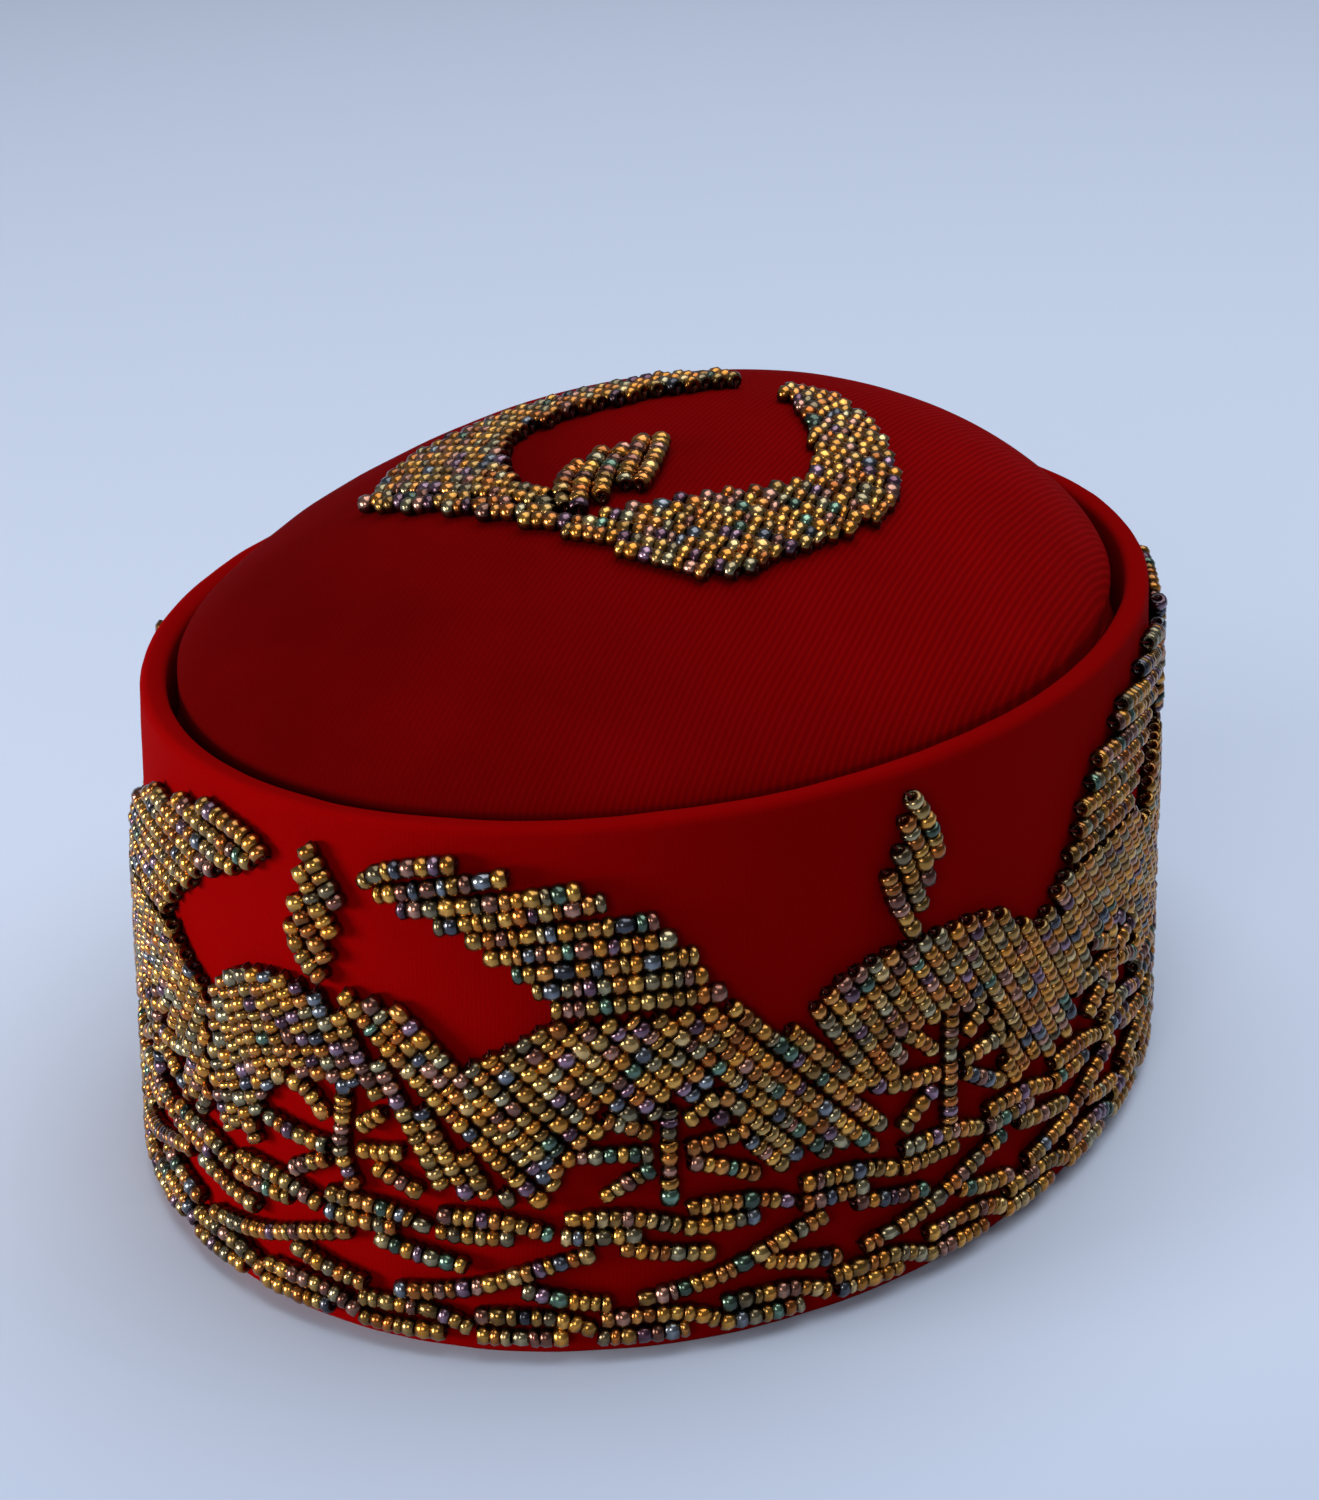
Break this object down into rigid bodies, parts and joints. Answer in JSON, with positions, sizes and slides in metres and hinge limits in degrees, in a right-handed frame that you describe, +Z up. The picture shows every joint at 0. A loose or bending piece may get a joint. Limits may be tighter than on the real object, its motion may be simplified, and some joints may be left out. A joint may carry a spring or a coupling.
{
  "type": "beaded cap",
  "caption": "Oval brimless cloth cap with a padded side band, a low domed crown set in a groove, and raised seed-bead motifs on both.",
  "frame": {"origin": "middle of the hem's oval, on the surface that the cap stands on", "axes": "+Z up, -Y towards the wearer's front, +X towards the wearer's left"},
  "size_m": [0.1736, 0.216, 0.1203],
  "materials": {
    "cloth": "matt red cotton twill",
    "beads": "iridescent metallic-coated seed beads in gold, bronze, mauve and teal"
  },
  "bodies": {
    "root": {"band": "cloth", "crown": "cloth", "crown_crescent": "beads", "crown_leaf": "beads", "bead_field_1": "beads", "wing_left_1": "beads", "wing_right_1": "beads", "leaf_front_1": "beads", "leaf_side_1": "beads", "bead_field_2": "beads", "wing_left_2": "beads", "wing_right_2": "beads", "leaf_front_2": "beads", "leaf_side_2": "beads", "bead_field_3": "beads", "wing_left_3": "beads", "wing_right_3": "beads", "leaf_front_3": "beads", "leaf_side_3": "beads", "bead_net_1": "beads", "bead_net_2": "beads", "bead_net_3": "beads", "bead_net_4": "beads"}
  },
  "joints": []
}
